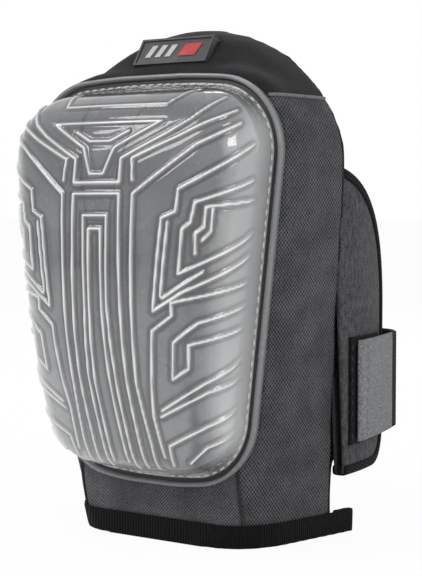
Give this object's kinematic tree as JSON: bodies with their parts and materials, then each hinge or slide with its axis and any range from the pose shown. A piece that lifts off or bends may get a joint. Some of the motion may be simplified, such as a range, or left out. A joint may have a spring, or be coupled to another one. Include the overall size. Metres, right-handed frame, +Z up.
{
  "type": "knee pad",
  "caption": "Cushioned knee pad: clear ribbed cap over a foam body in woven fabric, with two side wings and one hook-and-loop leg strap.",
  "frame": {"origin": "middle of the whole pad's footprint, on the floor under the hem", "axes": "+Z up the leg, -Y out of the cap, +X the side where the strap closes"},
  "size_m": [0.159, 0.18, 0.2501],
  "materials": {
    "clear_plastic": "clear moulded, glossy, with raised ribs",
    "pale_thread": "sewing thread",
    "black_thread": "sewing thread",
    "grey_weave": "plain weave",
    "black_foam": "closed-cell foam",
    "soft_foam": "open-cell foam",
    "gel": "soft translucent gel",
    "knit_lining": "brushed knit",
    "black_twill": "twill",
    "grey_canvas": "coarse plain weave",
    "dark_canvas": "fine plain weave",
    "black_binding": "ribbed tape",
    "badge_rubber": "moulded, matte",
    "badge_light": "moulded, matte",
    "badge_red": "moulded, matte",
    "hook_tape": "hook tape",
    "black_elastic": "ribbed elastic webbing",
    "grey_loop": "brushed loop tape",
    "grey_melange": "melange knit"
  },
  "bodies": {
    "pad": {"clear_cap": "clear_plastic", "cap_stitching": "pale_thread", "front_panel": "grey_weave", "front_foam": "black_foam", "gel_insert": "gel", "outer_foam": "black_foam", "inner_foam": "soft_foam", "inner_lining": "knit_lining", "top_panel": "black_twill", "right_side_panel": "grey_canvas", "left_side_panel": "grey_canvas", "bottom_panel": "dark_canvas", "side_seam_piping": "black_binding", "front_seam_piping": "black_binding", "rear_binding": "black_binding", "hem_binding": "black_binding", "badge_plate": "badge_rubber", "badge_rim": "badge_rubber", "badge_bars": "badge_light", "badge_accent": "badge_red"},
    "right_wing": {"hook_patch": "hook_tape", "hook_patch_stitching": "black_thread", "right_wing_core": "black_foam", "right_wing_cover": "grey_melange", "right_wing_lining": "knit_lining", "right_wing_binding": "black_binding"},
    "strap": {"strap_elastic": "black_elastic"},
    "left_wing": {"strap_sewn_end": "black_elastic", "strap_end_stitching": "black_thread", "left_wing_core": "black_foam", "left_wing_cover": "grey_melange", "left_wing_lining": "knit_lining", "left_wing_binding": "black_binding"},
    "tab": {"strap_tab": "grey_loop", "tab_hook_face": "hook_tape", "tab_stitching": "pale_thread"}
  },
  "joints": [
    {"name": "right_wing_fold", "type": "hinge", "parent": "pad", "child": "right_wing", "pos_m": [0.068, 0.0186, 0], "axis": [0, -0.0749, 0.9972], "range_deg": [0, 25], "stiffness_Nm_per_rad": 0.05},
    {"name": "left_wing_fold", "type": "hinge", "parent": "pad", "child": "left_wing", "pos_m": [-0.0742, 0.0186, 0], "axis": [0, -0.0749, 0.9972], "range_deg": [0, 20]},
    {"name": "strap_swing", "type": "hinge", "parent": "left_wing", "child": "strap", "pos_m": [-0.0669, 0.069, 0.072], "axis": [0, 0, 1], "range_deg": [0, 100]},
    {"name": "tab_peel", "type": "hinge", "parent": "strap", "child": "tab", "pos_m": [0.0671, 0.0691, 0.072], "axis": [0, 0, 1], "range_deg": [0, 75]}
  ],
  "couplings": [
    {"joint": "left_wing_fold", "follows": "strap_swing", "ratio": 0.2}
  ]
}
